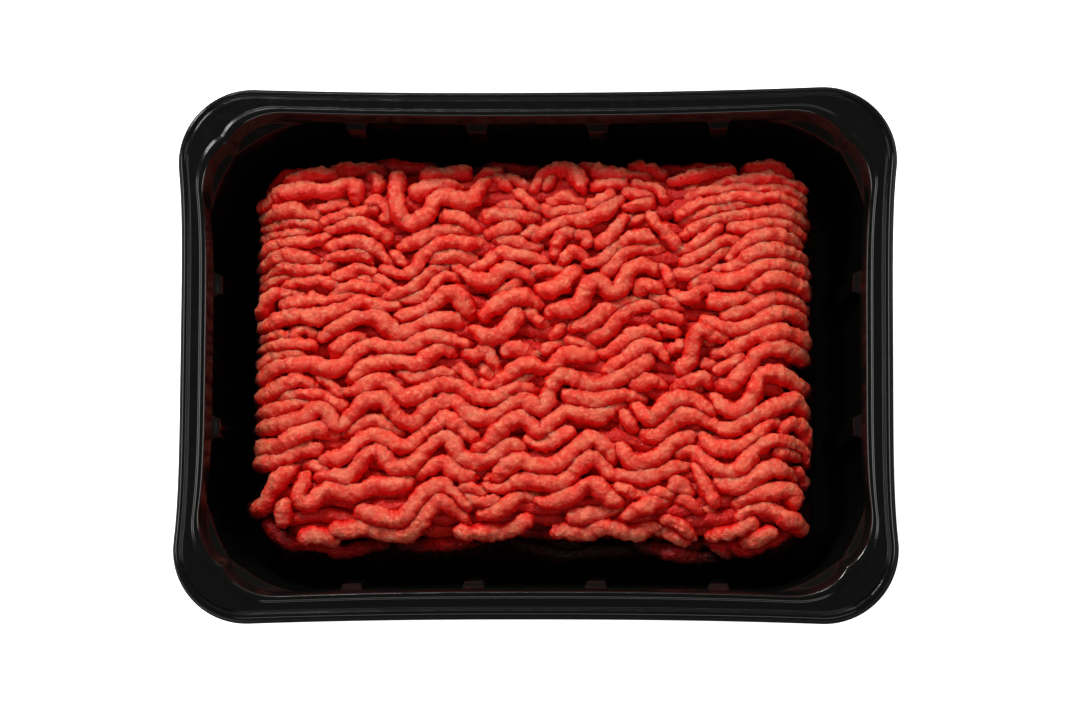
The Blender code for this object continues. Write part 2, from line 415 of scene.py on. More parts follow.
# Every strand that lies on top, by a few points (across, along) in millimetres, with how far it
# stands above the others. One that runs off the block's end bends down there.
LAID_STRANDS = (
    (0, ((-75, -16.8), (-70, -17.2), (-62, -14.5), (-58.5, -12.6), (-56, -13.6), (-54.8, -16.2),
          (-52.8, -18.2), (-50.5, -17), (-46.5, -12), (-40.5, -11), (-37, -16), (-34, -17),
          (-31.3, -16), (-27.6, -11.6), (-22, -11), (-18, -15), (-12, -15.4), (-7, -11.6), (-4, -10.8),
          (-1.5, -12), (0.3, -13.8), (2.2, -12.6), (3.6, -7), (5, -4.8), (8, -4.4), (13.5, -6.4),
          (17, -6.2), (23, -4.2), (28, -1.6), (30, -1.4))),
    (0, ((-75, -13.4), (-66, -12), (-62, -10.6), (-60, -11))),
    (0, ((-74.4, -9.6), (-70, -8.8), (-67.8, -7.2), (-65.5, -6.4), (-63, -5.2), (-59.6, -7))),
    (0, ((-66.4, -9.6), (-62, -8.6), (-57, -8.6), (-51, -12))),
    (0, ((-59.4, -6.6), (-57.6, -5.7), (-55.2, -6), (-52.2, -9.2))),
    (0, ((-51, -8.2), (-48.5, -7.8), (-44, -5.2), (-41.5, -4.8), (-39.5, -5.8), (-36, -9.8),
          (-33, -9.5), (-27.8, -6.9), (-22.5, -5.8), (-16, -10.6), (-10, -10.4), (-6, -7.6), (-1, -6.8))),
    (0, ((-49.8, -5.2), (-47.8, -3.8), (-46.3, -2), (-41.5, -0.1), (-36.5, -0.2), (-33, -1.9),
          (-31, -1.5), (-28.3, 2.4), (-25.5, 3.4), (-22.8, 2.6), (-20, -1))),
    (0, ((-22.5, -1.4), (-20, -2), (-15, -7.2))),
    (0, ((-37, -5.4), (-33, -5.9), (-28.5, -4), (-23.8, -3.4), (-22, -4.4))),
    (0, ((-53.5, 2.6), (-50, 6.2), (-47.8, 6.8), (-46.4, 5.6))),
    (0, ((-45.4, 6.8), (-43.8, 6.4), (-42.6, 5))),
    (0, ((-75, -3.8), (-72, -3.8), (-67.5, -1.2), (-61.5, -0.4), (-59, -1.4), (-53.5, -2.6),
          (-51.5, -2), (-49, 2), (-47, 3.6), (-44.3, 4.1), (-42.3, 3.2), (-37, 3), (-34.5, 2.8),
          (-29.5, 5.7), (-26.5, 6.3), (-21.5, 5.4), (-19, 4.4))),
    (0, ((-57.5, 6.2), (-53, 8.8), (-49, 11.1), (-43, 11.2), (-41, 10.4), (-38.3, 7.2), (-36.5, 6.6),
          (-29.5, 9.9), (-23.5, 9.9), (-19.5, 8.9))),
    (0, ((-75, -0.2), (-73, 0.6), (-71.4, 2), (-65, 2.4), (-63, 1.8))),
    (0, ((-75.2, 4.4), (-68.6, 4.4), (-63.6, 4.6), (-59, 5))),
    (0, ((-73.4, 7), (-68.6, 7.4), (-65, 6))),
    (0, ((-64.6, 6.6), (-63.6, 8.2), (-60, 8.2), (-58.8, 6.8))),
    (0, ((-75, 9.6), (-70, 10.7), (-64.8, 12.5), (-62.5, 11.8), (-58, 11.6), (-53.5, 13.5),
          (-51, 14.2), (-49, 15.5), (-43.8, 15.5), (-41.8, 14.1), (-37.2, 13.8))),
    (0, ((-37, 12.4), (-31.3, 12.7), (-26, 17.4), (-22, 18.6), (-19, 15.4), (-18.8, 13.2),
          (-17.6, 11.4), (-15.8, 10.4))),
    (0, ((-38, 15.4), (-30.8, 16.2), (-29.2, 17.6), (-27, 21.8), (-25, 23), (-22.8, 22.6), (-19.6, 20))),
    (0, ((-39.5, 17.6), (-33.5, 19.5), (-31.6, 20.7), (-28.2, 24.2), (-23.8, 24.8))),
    (0, ((-22.5, 24.4), (-18.2, 22.2), (-13, 20.8), (-9.3, 23.3), (-7, 24), (-2, 23))),
    (0, ((-41, 24.2), (-36.5, 22.6), (-32.2, 25), (-28.3, 30.6), (-22.8, 31.7), (-20.5, 31),
          (-14.5, 29.9), (-12, 30))),
    (0, ((-38.4, 27.4), (-36.8, 26.2), (-35.6, 25))),
    (0, ((-37.5, 30.6), (-30.8, 31.8), (-26.8, 34.4), (-22, 35.6), (-18, 34.2))),
    (1, ((-37.6, 47), (-38.2, 44.5), (-37.4, 39), (-34, 35.6), (-30.2, 38), (-27.6, 42.4),
          (-25.4, 43.8), (-20.6, 42.4), (-18.4, 42.6), (-16.6, 43.8), (-15.4, 45.8), (-13.8, 46.6))),
    (1, ((-72, 42), (-67, 44.6), (-61, 45.6), (-55.5, 45.2), (-50.8, 46.6), (-48.9, 45.8), (-48, 43.6),
          (-48.4, 41.4))),
    (0, ((-57.6, 37.4), (-52.4, 38.8), (-46.5, 40), (-41.8, 42))),
    (0, ((-45.5, 42.8), (-43, 43), (-40, 39.4), (-40.8, 37.4))),
    (0, ((-56.5, 34.2), (-54, 34.8), (-47.5, 37), (-41.5, 33.8), (-40, 32.4))),
    (0, ((-74, 29.6), (-69.8, 31.6), (-64, 32.2), (-61, 32), (-56, 33.3))),
    (0, ((-57.6, 29.8), (-53.4, 30.8), (-49, 32), (-43, 29), (-39.8, 25.6))),
    (0, ((-73.5, 25.4), (-71.6, 27), (-67, 28.6), (-60, 27.6), (-57.8, 28.3))),
    (0, ((-56.4, 26.8), (-52.4, 28.6), (-47, 28.7), (-43.6, 26))),
    (0, ((-72.6, 21.6), (-68.4, 24.6), (-66, 24.9), (-61, 24), (-55.2, 25.8))),
    (-1.2, ((-71, 21.6), (-68, 21.6), (-63.6, 22.4), (-57.6, 22.2))),
    (0, ((-54.6, 20.6), (-51.2, 22.4), (-47.6, 24.5), (-43.8, 22.8))),
    (0, ((-42.8, 21.6), (-40.8, 20.6), (-37.6, 17.6))),
    (-1.2, ((-48.4, 22.4), (-44.8, 22.3), (-43.4, 21.2))),
    (0, ((-66.5, 19.2), (-61.4, 20.3), (-56, 20.3), (-54.2, 19.6))),
    (0, ((-73.6, 13.2), (-70.2, 16.8), (-66, 18.2), (-61.8, 18))),
    (0, ((-55.2, 17), (-51.4, 19.3), (-46.6, 19.9), (-42.8, 19), (-39.4, 16.4))),
    (0, ((-66, 15), (-61.4, 15), (-59.6, 15.9), (-55.6, 15.4), (-51.4, 17.2), (-49.4, 17.6))),
    (0, ((-75, -22.6), (-69.4, -23.2), (-64, -20.5), (-58.8, -18.1), (-56.6, -18.7), (-53, -21.6),
          (-51.2, -21.8))),
    (0, ((-74.6, -26.4), (-71.5, -27.6), (-66.4, -26.6), (-62, -23.9), (-57.4, -23.7))),
    (0, ((-72, -39), (-69.2, -33.4), (-64.9, -29), (-63, -28.2))),
    (0, ((-62.2, -27), (-57.6, -28.2), (-55.8, -29.6))),
    (0, ((-56.6, -25.2), (-51.4, -26.4), (-47.6, -22.8), (-45.6, -20.9), (-40.2, -20), (-35.8, -22.8),
          (-33.2, -22.6), (-28.2, -19), (-23.8, -15.6), (-18.4, -20), (-16.4, -21.4))),
    (-0.8, ((-50.4, -19.8), (-45.8, -17.2), (-43, -16), (-36.6, -19.4))),
    (0, ((-58, -30.6), (-55.6, -30.2), (-51, -31.8), (-49, -30.4), (-45.6, -25.8), (-43, -24.7),
          (-40.6, -26), (-37, -29.9), (-32.4, -27.8), (-29, -23.2), (-27, -21.2), (-24.4, -20.4),
          (-22.2, -21.2), (-20.2, -25.8), (-13, -26.8), (-8, -22.5), (-3, -22.6))),
    (0, ((-60.6, -31.4), (-63.2, -36), (-62.6, -38.4), (-60.4, -38), (-56.2, -35.2), (-54, -34.8),
          (-48.6, -35.8), (-43.4, -33.6), (-38, -34.6), (-32.6, -33.6))),
    (0, ((-65.4, -38.6), (-66.2, -40.6), (-65.6, -42.6))),
    (0, ((-61, -45.2), (-56, -44.9), (-53.6, -45.4))),
    (0, ((-53.6, -43.6), (-48.4, -43.6), (-46, -43), (-41, -44.9), (-35, -45.2), (-32.4, -44.2),
          (-28.6, -40), (-24, -37.6), (-18.6, -41.8))),
    (0, ((-46, -39.6), (-41.8, -40.4), (-36.8, -41.6), (-34.4, -40.8), (-32.8, -38.6), (-27.6, -33.3),
          (-22.8, -33.6), (-19.4, -37.4), (-17.4, -38.6))),
    (0, ((-31.6, -31.6), (-28.2, -28.6), (-23.8, -27.4), (-20.4, -30.6), (-16.4, -31))),
    (0, ((-19.6, -34.6), (-17.4, -34), (-13.4, -35.4))),
    (0, ((-19.4, -36.4), (-15, -38.4), (-10.8, -38))),
    (0, ((-16.4, -22.6), (-14.2, -22.6), (-10.8, -19.2), (-6.4, -16.2), (-4, -16), (-2.2, -17.2),
          (0.8, -20.4), (4, -16.8), (8.6, -13.9), (11, -14.4), (15.4, -16.2), (19.6, -13.8), (24.4, -13))),
    (0, ((-2, -22), (0.4, -23), (4.8, -21.4), (8.6, -18.8))),
    (0, ((-13, -32.6), (-11.2, -31.8), (-8, -28), (-3.6, -26.6), (0.4, -28.8), (5.6, -27.6),
          (9.8, -24.4), (14, -21), (16.2, -20.8), (19.8, -26.6))),
    (0, ((-13.4, -34.6), (-11.6, -35.6), (-9.4, -35.2), (-7.4, -33.6), (-2.6, -32), (2, -33.8),
          (7, -32.8), (12.2, -27.2), (16.6, -26.8), (19, -30.6), (21, -31.8), (27, -31.2), (33, -30.6),
          (37, -28.5), (41, -30))),
    (0, ((-15.4, -40.6), (-13, -40.6), (-8.8, -39.2), (-5.4, -36.6), (-1, -36.8))),
    (0, ((-0.4, -37), (1.8, -38.6), (9.2, -36.4), (13.2, -34), (15.6, -34.2), (19.6, -36.6),
          (21.6, -36.8))),
    (0, ((-20.4, -43.6), (-18, -44.2), (-15.6, -44), (-13.4, -44.6), (-8.6, -44), (-4.4, -41.4),
          (-2.6, -40.8))),
    (0, ((5.6, -43), (11, -44.2), (13.4, -44.2), (15.6, -43.2), (21, -43), (26.2, -44.3), (32.4, -42))),
    (-0.8, ((8.6, -40.8), (14.4, -40.2), (20, -40.8), (22.4, -40.4))),
    (0, ((23.2, -41), (27.2, -39.8), (31.2, -37.8), (35, -38.8))),
    (0, ((22.4, -34.2), (27, -35.6), (28.8, -35.4))),
    (0, ((29, -34.4), (31, -34.9), (36.2, -35.8))),
    (-1.5, ((3.6, -45.4), (8.6, -47.4), (11.6, -47))),
    (0, ((20.6, -20.6), (25, -27.4), (27.4, -28), (32.4, -25.9), (36, -21.7), (40.6, -20.4),
          (42.2, -21.8))),
    (1.2, ((22.8, -15.2), (24.2, -17.6), (25, -20))),
    (0, ((24.8, -12), (29, -15.4), (30.8, -15.2), (34.8, -11.4), (41, -11), (46, -13.8))),
    (0, ((47, -10.6), (48.8, -12.6), (51.4, -13.6), (54, -13.2), (55.8, -11.6), (59.4, -4.8),
          (64.4, -4.3), (68.4, -7))),
    (0, ((28, -20.4), (30.6, -21), (33, -20.2), (36.6, -16), (41.6, -14.8), (44, -15.6), (48.6, -18.9),
          (51.2, -19.3), (55.6, -16.4), (60.4, -13.9), (65.8, -11.5), (68.6, -11), (71, -12.2),
          (73, -14.4))),
    (-0.6, ((43.2, -17.8), (47.2, -20.6), (51.6, -20.8))),
    (0, ((43.8, -21.4), (47.2, -24.8), (52.8, -24.3), (57.2, -21.4), (60.6, -17.6), (62.6, -17))),
    (0, ((63.8, -18.2), (65.4, -16.6), (69.8, -18), (73, -22))),
    (0, ((37, -26), (39.4, -25.4), (42, -26), (46.2, -29.3), (48.8, -30.2), (53.8, -28.6),
          (57.4, -24.4), (59.6, -22.9), (65, -22.2), (70, -24), (71.8, -26.4))),
    (0, ((63.6, -24.4), (66, -25.2), (68.6, -25))),
    (1, ((41.6, -28.8), (44.2, -33.6), (46.6, -38))),
    (0, ((35.4, -32.8), (37.4, -32.4), (40.4, -36))),
    (0, ((36, -38.4), (38, -37.8), (40.2, -38.4), (43.4, -41.6))),
    (0, ((41.4, -40.6), (45.4, -40.2), (46.4, -42))),
    (0, ((47, -34.2), (55, -33.5), (57.2, -32.4), (60.4, -29.2), (65.4, -29.2), (67, -30.8))),
    (0, ((68, -30.2), (69.4, -31.6), (69.4, -33.4))),
    (0, ((52.8, -37.4), (60, -35.6), (64.8, -34.4), (67, -35.2), (67.4, -37), (65.6, -38.4))),
    (0, ((53, -40.8), (54.8, -39.8), (60, -39.2), (66.8, -42), (68, -44))),
    (0, ((46.6, -44.6), (51.8, -44.5), (57.6, -41.8))),
    (0, ((54.6, -46.6), (57, -46), (61.4, -43.8))),
    (0, ((32.6, -43.6), (37, -45.7), (39, -46.4))),
    (0, ((36.6, -49), (41, -48), (43, -48.6))),
    (-1, ((45, -47.4), (47.6, -48.2), (50.4, -48.6))),
    (0, ((48.2, -41.4), (49.8, -40.4), (51.6, -39.8))),
    (0, ((33.6, -41.6), (36, -41.9), (40.2, -44.4))),
    (0, ((-15.6, -5.4), (-13.6, -6.6), (-11.4, -6.5), (-8, -3.3), (-3, -1.8), (1.8, -2.6), (3.8, -2.2),
          (7.4, 0.9), (12, 1.4), (15.8, -0.6))),
    (0, ((18.4, -1.8), (22.8, -0.4), (26.4, 2.6), (28.8, 3.4), (33.2, 1.8), (34.4, 0.2))),
    (0, ((14.6, 2.6), (16.8, 2), (18.8, 2.8), (24.8, 6.9), (29.8, 7.5), (31.8, 7))),
    (0, ((7.6, 5.2), (10, 5.3), (14.4, 4))),
    (0, ((13.6, 6.4), (18.2, 7), (21.2, 10.6), (25, 14), (29.8, 14.4), (31.6, 13.2))),
    (0, ((8.8, 8.8), (13.8, 10), (20.8, 13.9), (26, 15.8), (28.4, 16))),
    (0, ((4.6, 6), (5.6, 8), (7.2, 9.4))),
    (0, ((1.6, 2.2), (5, 4.8), (7, 5.6))),
    (0, ((-8.6, 2.2), (-4.4, 2.8), (2.4, 1))),
    (-1, ((-1.6, 4.8), (0.6, 4.8), (2.8, 4.6))),
    (0, ((-19.4, 2.4), (-17.2, 1.6), (-13, 2.3), (-10.6, -3.4))),
    (-1, ((-15.4, 0.2), (-14, -1.4), (-13, -3.4))),
    (1, ((-17, 7), (-14.6, 6), (-9.6, 6.6), (-6.4, 10.4), (-6, 12.4))),
    (1, ((-13.6, 11.4), (-10.4, 15), (-8.2, 16.2), (-3.2, 16), (0.8, 13.4))),
    (-0.4, ((-11, 17.4), (-9, 18.5), (-5, 20.4))),
    (0, ((-1.8, 12.6), (0.8, 9.2), (2.6, 8.4))),
    (1, ((2.2, 12.8), (4.6, 13.8), (9.6, 13.6), (11.4, 15), (13.6, 19.6), (15.2, 21.2), (17, 20.6),
          (18.4, 18.6), (20.4, 17.6), (22, 18.8), (24, 23.4), (26, 25), (28.4, 25.2), (30.6, 24.2),
          (31.8, 22.4))),
    (0, ((31.4, 26.4), (33, 24.8), (35.2, 20.8))),
    (0, ((27.4, 18.6), (28, 20.4), (29.6, 20.4), (33, 17.8))),
    (0, ((35.2, 18.4), (39.6, 16), (43, 18.4), (45, 19))),
    (0, ((41.4, 19.4), (43, 20.6), (47.8, 21.1), (50, 20.2), (52.6, 20.8), (56.8, 23.1), (58.6, 24.8),
          (63.6, 25), (68.4, 24.6), (70.6, 23))),
    (0, ((37.4, 22.6), (41.6, 22.8), (45.6, 25.4), (49.4, 28), (51.2, 28.6))),
    (0, ((50.4, 27.4), (55.4, 31.4), (60.4, 33), (65.4, 32.1), (67.4, 31.2))),
    (0, ((46.6, 24), (52, 24.3), (58, 28.4), (63.6, 29), (68.8, 27.2))),
    (0, ((56.6, 18.8), (58.6, 19.4), (62.8, 21.4), (67.8, 20.2), (70.2, 18.8))),
    (0, ((45.6, 15.6), (47.6, 14.8), (52.4, 16), (56.4, 17.2))),
    (0, ((49.6, 11), (56.6, 13.6), (61, 15.6), (66.6, 15.4), (71, 12.8))),
    (0, ((44.4, 9.8), (46.8, 9.6), (49.2, 8.6), (54.2, 8.3), (58.8, 10.6), (63.6, 12.6), (69, 11.4),
          (71, 9.8))),
    (1.2, ((38.2, -2.8), (39.8, -1.4), (41.6, 5.6), (43, 7.8), (45.2, 7.7), (47.2, 6.4), (49.4, 5.8))),
    (0, ((46.8, 1.6), (49.2, 1.8), (53.6, 4), (58, 6), (63.2, 7.3), (68.6, 6), (71, 4.6))),
    (-0.8, ((44.6, 3.4), (46.6, 3), (48.4, 3.6))),
    (0, ((48, -5), (49.6, -6.2), (51.6, -6), (54.4, -3), (56.8, 0.9), (59, 2.2), (65, 3), (70.4, 1))),
    (0, ((44.8, -1.2), (46.6, -2.4), (48, -3.8))),
    (0, ((47.4, -2.2), (50, -1.8), (54.2, 0.4))),
    (0, ((25.8, -7.2), (28, -6.6), (30.2, -5.4), (34, -7.6))),
    (0, ((34.6, -8), (37, -7.6), (41.4, -4.6), (43.8, -4.4), (45.4, -6), (46.2, -8.4))),
    (-0.6, ((39.4, -8.4), (42, -8.6), (44.6, -9.2))),
    (0, ((8.2, -10), (15.8, -10.9), (21, -9.6), (26.4, -10.2))),
    (-0.5, ((-5.6, -5.6), (-1, -5.2), (2, -8))),
    (0, ((31, 16), (33, 15.4), (37.6, 13.4))),
    (0, ((31.6, 12.6), (36, 11.2), (37.8, 10.2))),
    (-0.3, ((32.4, 8), (34.4, 7), (36.6, 7.6))),
    (0, ((34.8, 1.8), (36.6, 2.8), (38.4, 3))),
    (0, ((38.8, 26.6), (43.4, 27.9), (46.6, 30.8), (51.2, 32), (53, 31.6))),
    (0, ((38, 30.2), (40.4, 30.4), (44.8, 32.6), (47.6, 35.6))),
    (0, ((38.6, 33.4), (45, 36.6), (52.6, 38.2), (58.2, 38.6), (64, 39.4), (69.6, 37.2), (71.4, 35.6))),
    (0, ((37.6, 36.4), (41.6, 38.4), (46.6, 39.9), (54.6, 41.4), (57, 41.3))),
    (0, ((37.8, 39.2), (39.4, 40.6), (47, 42), (52.4, 42.9), (58, 43), (63.6, 43.7), (69, 42),
          (71, 40.4))),
    (0, ((40, 43), (45.4, 44.3), (51, 45.1), (56.6, 45.3), (62.2, 46.1), (67.8, 44.6), (70, 43))),
    (0, ((45, 46.2), (50, 47.2), (55.6, 47.7), (61.2, 48.4), (67, 47), (69, 45.4))),
    (0, ((36.4, 47), (38.8, 47.6), (41.4, 47.4), (46.4, 48.8), (49, 48.6), (51.4, 49.2))),
    (0, ((38.2, 45.8), (40.8, 45.6), (43.2, 46.4))),
    (0, ((54, 50), (60, 51), (62.6, 51), (67.4, 48.8), (71, 44.6))),
    (0, ((51.4, 34.2), (56.6, 35.1), (62, 36.3), (65, 36), (70, 33.4))),
    (0, ((-0.8, 33.6), (3.8, 35.4), (8.8, 37.2), (14.2, 37.7), (18.6, 40), (22, 43))),
    (0, ((-3.6, 34.6), (-1.8, 35.8), (0.2, 35.4))),
    (0, ((4.2, 29.4), (5.8, 33.4), (8, 34.5), (10.2, 34.2))),
    (0, ((10.4, 34.6), (12.4, 34), (13.6, 32.6), (12.2, 31))),
    (0, ((16, 31.2), (20, 33.4), (22.8, 37), (24.6, 38.4))),
    (0, ((5.8, 25.2), (8.4, 28.6), (10.2, 29.4), (12.6, 26.8))),
    (0, ((12.6, 26.4), (17.2, 26.8), (20.8, 30), (25, 32.4), (27.6, 33.1), (30, 32.5), (31.8, 31))),
    (0, ((17.6, 22.8), (19.4, 23.8), (22, 27.8), (27, 29.6), (32, 28.2))),
    (0, ((29.4, 38.2), (32.4, 34.6), (37.6, 30))),
    (0, ((24.6, 37.4), (27, 37.2), (29.4, 37.2))),
    (0, ((23.6, 40.4), (28.6, 41.5), (30.4, 40.8))),
    (0, ((22.8, 44.4), (25.6, 43.9), (30.6, 44))),
    (0, ((24.8, 46.4), (30.4, 46), (32.6, 44.8), (33.6, 42.8))),
    (0, ((14.8, 45.6), (16.8, 46), (21.4, 45.4), (23.4, 46.2))),
    (0, ((13.4, 41), (16, 41.8), (20.4, 44.6))),
    (0, ((11.6, 50.2), (14, 50.3), (16.2, 49.1), (21.4, 47.8), (27, 49), (29.6, 49))),
    (0, ((25.4, 50.2), (31, 49.6), (33, 48))),
    (1, ((-1.4, 45.6), (1.8, 49), (7.4, 49.9), (11.4, 46.8), (11.6, 44.8))),
    (0, ((3.6, 48.4), (2.4, 46.6), (1.4, 44.6))),
    (0, ((2.6, 42), (7.2, 43.4), (11.6, 41.8))),
    (0, ((2, 41.2), (3.4, 39.8), (9, 40.2), (12, 40))),
    (0, ((-24, 37.4), (-22, 38), (-15.4, 36))),
    (0, ((-15, 38), (-10.8, 39.2), (-6.2, 39.9), (-2.4, 38), (0, 37.8))),
    (0, ((-14.6, 33.8), (-8.4, 37), (-6.6, 37), (-5.4, 35.6))),
    (0, ((-17.6, 33), (-15.6, 32.2), (-13.4, 32.6))),
    (0, ((-11.6, 30.6), (-5, 32.3), (-1.4, 30), (1, 29.2))),
    (0, ((-17, 25.2), (-15, 25.5), (-11.2, 28), (-9, 28.6), (-7, 27.8), (-2, 28), (3.2, 27.4))),
    (0, ((-27.4, 26.6), (-25.4, 27.6), (-20.6, 27.8), (-16.4, 26.2))),
    (0, ((-0.8, 23.2), (1.6, 23.6), (6.6, 23.4))),
    (0, ((0.6, 18.8), (3.4, 18.8), (8.4, 20.8), (11, 24))),
    (0, ((-9.4, 42.2), (-7.2, 42.4), (-5, 42))),
    (0, ((-5.4, 43.8), (-3.2, 43.4), (1, 40.8))),
    (0, ((-10, 47.6), (-7.6, 47.2), (-3, 45.2), (-1.4, 44))),
    (0, ((-11, 47.8), (-9.8, 46), (-8, 44.6))),
    (0, ((-16.8, 46.6), (-15, 47.4), (-10.6, 48.4))),
    (0, ((-33, 44.8), (-31, 44.4), (-29, 45.4), (-24.2, 46.2), (-19.6, 45.4))),
    (0, ((-30, 48), (-24, 49.4), (-18.6, 48.6))),
    (0, ((-44.4, 49), (-42.8, 47.6), (-42.6, 45.6), (-44, 44.4))),
    (0, ((-55, 49.4), (-48.6, 50.4), (-42.6, 49.6))),
    (0, ((-66, 47.4), (-60.4, 48.6), (-54.6, 47.8))),
    (0, ((-70.4, 38.6), (-66, 40.4), (-63.8, 39.8), (-59.4, 39.2), (-57.4, 39.6))),
    (0, ((-72.6, 35), (-65, 36.9), (-58.4, 36))),
    (0, ((-70.8, 33.6), (-65.8, 34.4), (-60.4, 34.4))),
    (-1.5, ((-61, 41.4), (-55, 41), (-52.4, 41))),
)
RUNS_OFF_FROM = 68.0 * MM
LAST_ON_TOP = 70.4 * MM
LOWEST_TAIL = 4.0 * MM
TUCK = 2.8 * MM
TUCK_LENGTH = 2.2 * MM
TUCKED_END = 1.8 * MM


def smooth_path(corners):
    """A curve through a few points, with a node at every step."""
    corners = np.array(corners, float)
    padded = np.concatenate([2 * corners[:1] - corners[1:2], corners, 2 * corners[-1:] - corners[-2:-1]])
    t = np.linspace(0, 1, 12, endpoint=False)[:, None]
    path = []
    for a, b, c, d in zip(padded, padded[1:], padded[2:], padded[3:]):
        path.append(b + 0.5 * t * (c - a + t * (2 * a - 5 * b + 4 * c - d + t * (3 * (b - c) + d - a))))
    path = np.concatenate(path + [corners[-1:]])
    run = np.concatenate([[0], np.cumsum(np.linalg.norm(np.diff(path, axis=0), axis=1))])
    even = np.arange(0, run[-1], NODE_STEP)
    return np.stack([np.interp(even, run, path[:, axis]) for axis in range(3)], axis=1)


def rounded(x, y):
    """Height of the top, as rounded off all round its edge."""
    beyond_x = x - np.clip(x, BLOCK_X - HALF_LENGTH + END_BEND, BLOCK_X + HALF_LENGTH - END_BEND)
    beyond_y = y - np.clip(y, BLOCK_Y - HALF_WIDTH + SHOULDER, BLOCK_Y + HALF_WIDTH - SHOULDER)
    lean = np.minimum(np.hypot(beyond_x, beyond_y) / SHOULDER, 0.93)
    height = BLOCK_TOP - SHOULDER * (1 - np.sqrt(1 - lean**2))
    height = height + low_swell(x, y) + mid_swell(x, y) - front_sag(x, y)
    return height


def over_top(corners, lift):
    """A strand on top of the block: points and outward directions."""
    corners = np.array(corners, float) * MM
    tails = [[], []]
    ends = ((corners[0], corners[1], tails[0]), (corners[-1], corners[-2], tails[1]))
    for end, inner, tail in ends:
        if abs(end[0]) > max(RUNS_OFF_FROM, abs(inner[0])):
            side = math.copysign(1, end[0])
            y = end[1]
            foot = BLOCK_FOOT + LOWEST_TAIL + chance.uniform(0, 14 * MM)
            for out, down in ((-0.6, 6.5), (0.2, 13.0), (0.8, 20.0)):
                if BLOCK_TOP - down * MM > foot:
                    y += chance.uniform(-0.7, 0.7) * MM
                    inset = max(abs(y - BLOCK_Y) - (HALF_WIDTH - PLAN_CORNER), 0)
                    reach = HALF_LENGTH - PLAN_CORNER + math.sqrt(max(PLAN_CORNER**2 - inset**2, 0))
                    tail.append((BLOCK_X + side * (reach + out * MM), y, BLOCK_TOP - down * MM))
            corners = corners[np.abs(corners[:, 0]) < LAST_ON_TOP]
    ends = [corners[:1], corners[-1:]]
    for index, (end, inner) in enumerate(((corners[0], corners[1]), (corners[-1], corners[-2]))):
        if not tails[index]:
            onward = (end - inner) / np.linalg.norm(end - inner) * TUCKED_END
            ends[index] = (end + onward)[None, :]
        else:
            ends[index] = corners[:0]
    corners = np.concatenate([ends[0], corners, ends[1]])
    top = np.column_stack([corners, rounded(corners[:, 0], corners[:, 1]) + lift * MM])
    spine = np.concatenate([np.array(tails[0][::-1]).reshape(-1, 3), top, np.array(tails[1]).reshape(-1, 3)])
    points = smooth_path(spine)
    run = np.arange(len(points)) * NODE_STEP
    for tail, from_end in ((tails[0], run), (tails[1], run[::-1])):
        if not tail:
            points[:, 2] -= TUCK * np.exp(-from_end / TUCK_LENGTH)
    on_top = points[:, 2] > BLOCK_TOP - 5.5 * MM
    wobble = waver(7 * MM, 22 * MM, 0.35 * MM)(run)
    points[:, 2] += np.where(on_top, waver(8 * MM, 30 * MM, 0.45 * MM)(run), 0)
    points[:, 1] += np.where(on_top, wobble, 0)
    middle = np.clip(points, (BLOCK_X - HALF_LENGTH + END_BEND, BLOCK_Y - HALF_WIDTH + SHOULDER, BLOCK_FOOT),
                     (BLOCK_X + HALF_LENGTH - END_BEND, BLOCK_Y + HALF_WIDTH - SHOULDER, BLOCK_TOP - SHOULDER))
    outward = points - middle
    return points, outward / np.maximum(np.linalg.norm(outward, axis=1), MM)[:, None]


strands = []


def lay(points, outward, kind, thick):
    strands.append({"points": points, "outward": outward, "kind": kind, "thick": thick * np.ones(len(points))})


for lift, corners in LAID_STRANDS:
    points, outward = over_top(corners, lift)
    lay(points, outward, "back" if points[:, 1].mean() > 0 else "front", 1.0)

ROOM_NODES = 4
ROOM_FILLED = 1.24
THINNEST = 0.72
THICKEST = 1.13
SIDE_ROWS_FROM = {-1: 1.3, 1: 1.4}
SIDE_PIECE_NODES = (14, 44)
SIDE_PIECE_SHIFT = 1.0 * MM
LOWER_DEPTH = 2.2 * MM

# A strand is as thick as the room between its neighbours lets it be.
nodes_of_all = np.concatenate([strand["points"] for strand in strands])
strand_of_node = np.concatenate([np.full(len(strand["points"]), i) for i, strand in enumerate(strands)])
for index, strand in enumerate(strands):
    others = nodes_of_all[strand_of_node != index]
    across = others[None, :, :] - strand["points"][:, None, :]
    away = np.linalg.norm(across, axis=2)
    nearest = away.min(axis=1)
    behind = np.where(across[:, :, 1] > 0, away, 1.0).min(axis=1)
    before = np.where(across[:, :, 1] < 0, away, 1.0).min(axis=1)
    room = 0.5 * (np.minimum(behind, 6.5 * MM) + np.minimum(before, 6.5 * MM))
    room = 0.5 * room + 0.5 * nearest
    padded = np.pad(room, ROOM_NODES, mode="edge")
    room = np.convolve(padded, np.ones(2 * ROOM_NODES + 1) / (2 * ROOM_NODES + 1), mode="valid")
    strand["thick"] = np.clip(ROOM_FILLED * room / (2 * STRAND_RADIUS), THINNEST, THICKEST)

